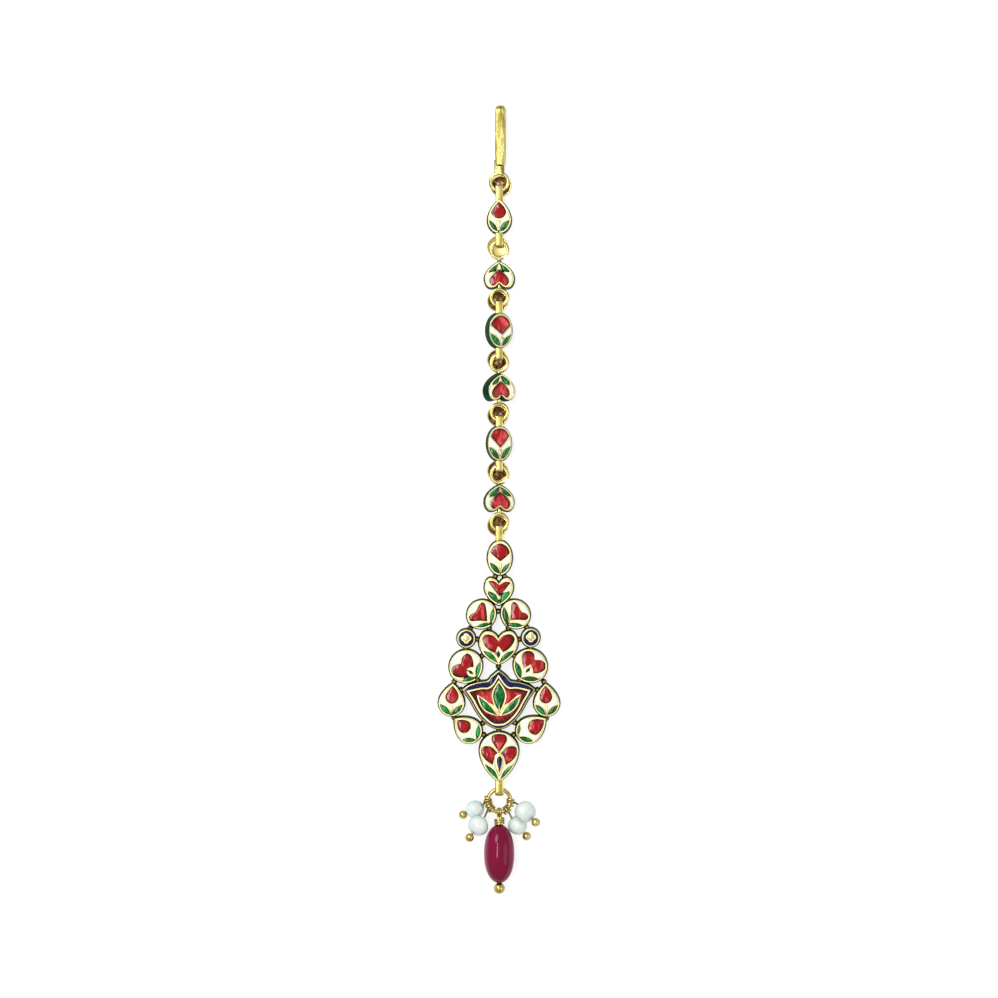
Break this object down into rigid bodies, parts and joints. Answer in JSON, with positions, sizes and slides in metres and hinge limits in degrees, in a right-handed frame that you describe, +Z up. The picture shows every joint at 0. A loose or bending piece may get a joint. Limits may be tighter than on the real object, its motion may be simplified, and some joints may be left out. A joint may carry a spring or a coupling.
{
  "type": "maang tikka",
  "caption": "Forehead jewel laid flat, with a hair hook, a chain of enamelled links on rings, a pierced floral pendant, and pearl and ruby drops on a jump ring.",
  "frame": {"origin": "middle of the jewel's box, on the surface that it lies on", "axes": "+Y from the drops towards the hook, +X to the right as seen from above, +Z up from the surface, out of the enamelled faces"},
  "size_m": [0.0222, 0.142, 0.0062],
  "materials": {
    "gold": "matt hand-worked yellow gold",
    "enamel": "glossy enamel, white with red, green and blue cells",
    "diamond": "clear cut stone",
    "pearl": "pearl lustre",
    "ruby": "polished deep red bead"
  },
  "bodies": {
    "root": {"hook": "gold", "diamond_1": "diamond", "diamond_2": "diamond", "link_pear": "gold", "enamel_pear": "enamel", "link_heart_1": "gold", "enamel_heart_1": "enamel", "diamond_3": "diamond", "diamond_4": "diamond", "link_oval_1": "gold", "enamel_oval_1": "enamel", "link_heart_2": "gold", "enamel_heart_2": "enamel", "diamond_5": "diamond", "diamond_6": "diamond", "link_oval_2": "gold", "enamel_oval_2": "enamel", "link_heart_3": "gold", "enamel_heart_3": "enamel", "diamond_7": "diamond", "pendant_frame": "gold", "enamel_top_oval": "enamel", "enamel_top_heart": "enamel", "enamel_left_bud_upper": "enamel", "enamel_right_bud_upper": "enamel", "enamel_left_round": "enamel", "enamel_right_round": "enamel", "enamel_centre_heart": "enamel", "enamel_left_bud_lower": "enamel", "enamel_right_bud_lower": "enamel", "enamel_left_pear_upper": "enamel", "enamel_right_pear_upper": "enamel", "enamel_tulip": "enamel", "enamel_left_pear_lower": "enamel", "enamel_right_pear_lower": "enamel", "enamel_bottom_drop": "enamel", "jump_ring": "gold", "pearl_left_low": "pearl", "pin_left_low": "gold", "pearl_left_high": "pearl", "pin_left_high": "gold", "pearl_right_low": "pearl", "pin_right_low": "gold", "pearl_right_high": "pearl", "pin_right_high": "gold", "ruby_bead": "ruby", "pin_ruby": "gold"}
  },
  "joints": []
}
